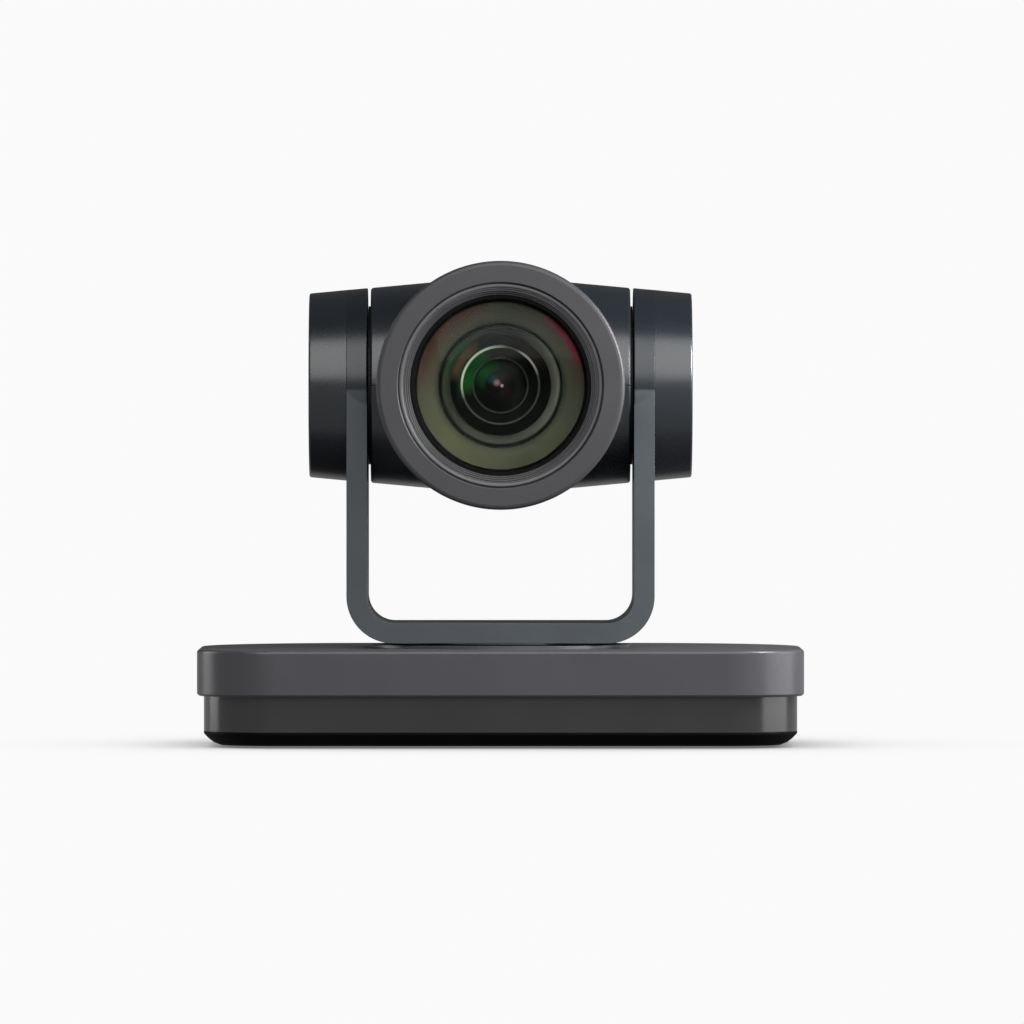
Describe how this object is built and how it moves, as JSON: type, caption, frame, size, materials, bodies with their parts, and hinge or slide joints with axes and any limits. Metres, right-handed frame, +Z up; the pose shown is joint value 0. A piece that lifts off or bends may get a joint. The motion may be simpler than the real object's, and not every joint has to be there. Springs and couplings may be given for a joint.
{
  "type": "pan-tilt-zoom camera",
  "caption": "Desktop or ceiling video camera with a wide low base, a U-shaped yoke that pans, and a tapered drum head with a large round lens that tilts.",
  "frame": {"origin": "on the pan axis, at the plane the rubber feet stand on, which is the bottom centre of the box", "axes": "+Z up along the pan axis, lens looks towards -Y, +X along the wide base"},
  "size_m": [0.2114, 0.14, 0.169],
  "materials": {
    "satin_grey": "satin moulded casing, slightly warm dark grey",
    "drum_grey": "semi-gloss moulded drum casing, cool dark grey",
    "yoke_grey": "satin paint on a cast frame",
    "window_dark": "tinted glossy window plastic",
    "pan_black": "matt black powder coat on steel sheet",
    "rubber_black": "matt",
    "inner_black": "matt black moulding",
    "bead_metal": "satin anodised, turned",
    "barrel_black": "black anodised",
    "lens_glass": "coated optical glass",
    "steel": "machined steel",
    "screw_black": "black oxide screw",
    "brass": "turned brass",
    "gear_white": "acetal gear plastic",
    "board_green": "circuit board laminate",
    "socket_metal": "nickel-plated socket shell",
    "socket_black": "socket moulding",
    "flex_amber": "polyimide flat cable",
    "light_clear": "clear light pipe",
    "motor_metal": "zinc-plated motor case"
  },
  "bodies": {
    "base": {"base_top_cover": "satin_grey", "base_skirt": "window_dark", "base_bottom_pan": "pan_black", "rubber_feet": "rubber_black", "base_screws": "screw_black", "tripod_insert": "brass", "connector_panel": "inner_black", "main_board": "board_green", "lan_socket": "socket_metal", "usb_socket": "socket_metal", "hdmi_socket": "socket_metal", "sdi_socket": "socket_metal", "serial_socket": "socket_black", "audio_socket": "socket_black", "power_socket": "socket_black", "rocker_frame": "socket_black", "dial_housing": "socket_black", "pan_bracket": "steel", "pan_bearings": "steel", "pan_motor": "motor_metal", "infrared_receiver": "socket_black", "status_light": "light_clear"},
    "power_key": {"power_rocker": "socket_black"},
    "dial": {"format_dial": "gear_white"},
    "pan_drive": {"pan_pinion": "brass"},
    "yoke": {"yoke_frame": "yoke_grey", "left_end_shell": "drum_grey", "right_end_shell": "drum_grey", "yoke_inner_cover": "yoke_grey", "turntable_collar": "inner_black", "pan_shaft": "steel", "pan_gear": "gear_white", "left_end_lid": "drum_grey", "right_end_lid": "drum_grey", "tilt_bearings": "steel", "tilt_motor": "motor_metal", "yoke_flex_cable": "flex_amber", "yoke_cover_screws": "screw_black"},
    "tilt_drive": {"tilt_pinion": "brass"},
    "head": {"head_upper_shell": "drum_grey", "head_lower_shell": "drum_grey", "head_screws": "screw_black", "front_ring": "satin_grey", "bead_ring": "bead_metal", "hood_ring": "inner_black", "lens_barrel": "barrel_black", "front_lens": "lens_glass", "guide_rods": "steel", "iris_unit": "barrel_black", "lens_chassis": "barrel_black", "sensor_board": "board_green", "image_sensor": "inner_black", "left_tilt_hub": "inner_black", "right_tilt_hub": "inner_black", "tilt_gear": "gear_white"},
    "zoom_cam": {"zoom_cam_ring": "bead_metal"},
    "variator": {"variator_cell": "barrel_black", "variator_lens": "lens_glass"},
    "focus": {"focus_cell": "barrel_black", "focus_lens": "lens_glass"}
  },
  "joints": [
    {"name": "pan_turn", "type": "hinge", "parent": "base", "child": "yoke", "pos_m": [0, 0, 0.0348], "axis": [0, 0, 1], "range_deg": [-170, 170]},
    {"name": "tilt_turn", "type": "hinge", "parent": "yoke", "child": "head", "pos_m": [0, 0, 0.1257], "axis": [-1, 0, 0], "range_deg": [-30, 90]},
    {"name": "pan_pinion_turn", "type": "hinge", "parent": "base", "child": "pan_drive", "pos_m": [0.034, 0, 0.02], "axis": [0, 0, 1], "range_deg": [-660, 660]},
    {"name": "tilt_pinion_turn", "type": "hinge", "parent": "yoke", "child": "tilt_drive", "pos_m": [0.057, 0, 0.1467], "axis": [-1, 0, 0], "range_deg": [-275, 95]},
    {"name": "zoom_cam_turn", "type": "hinge", "parent": "head", "child": "zoom_cam", "pos_m": [0, 0, 0.1257], "axis": [0, 1, 0], "range_deg": [0, 80]},
    {"name": "variator_slide", "type": "slide", "parent": "head", "child": "variator", "axis": [0, 1, 0], "range_m": [0, 0.01]},
    {"name": "focus_slide", "type": "slide", "parent": "head", "child": "focus", "axis": [0, 1, 0], "range_m": [0, 0.005]},
    {"name": "power_key_tip", "type": "hinge", "parent": "base", "child": "power_key", "pos_m": [0.047, 0.0505, 0.0155], "axis": [1, 0, 0], "range_deg": [-16, 0]},
    {"name": "format_dial_turn", "type": "hinge", "parent": "base", "child": "dial", "pos_m": [-0.055, 0.05, 0.014], "axis": [0, 1, 0], "range_deg": [0, 337.5]}
  ],
  "couplings": [
    {"joint": "pan_pinion_turn", "follows": "pan_turn", "ratio": -3.8571},
    {"joint": "tilt_pinion_turn", "follows": "tilt_turn", "ratio": -3},
    {"joint": "variator_slide", "follows": "zoom_cam_turn", "m_per_rad": 0.00716}
  ]
}
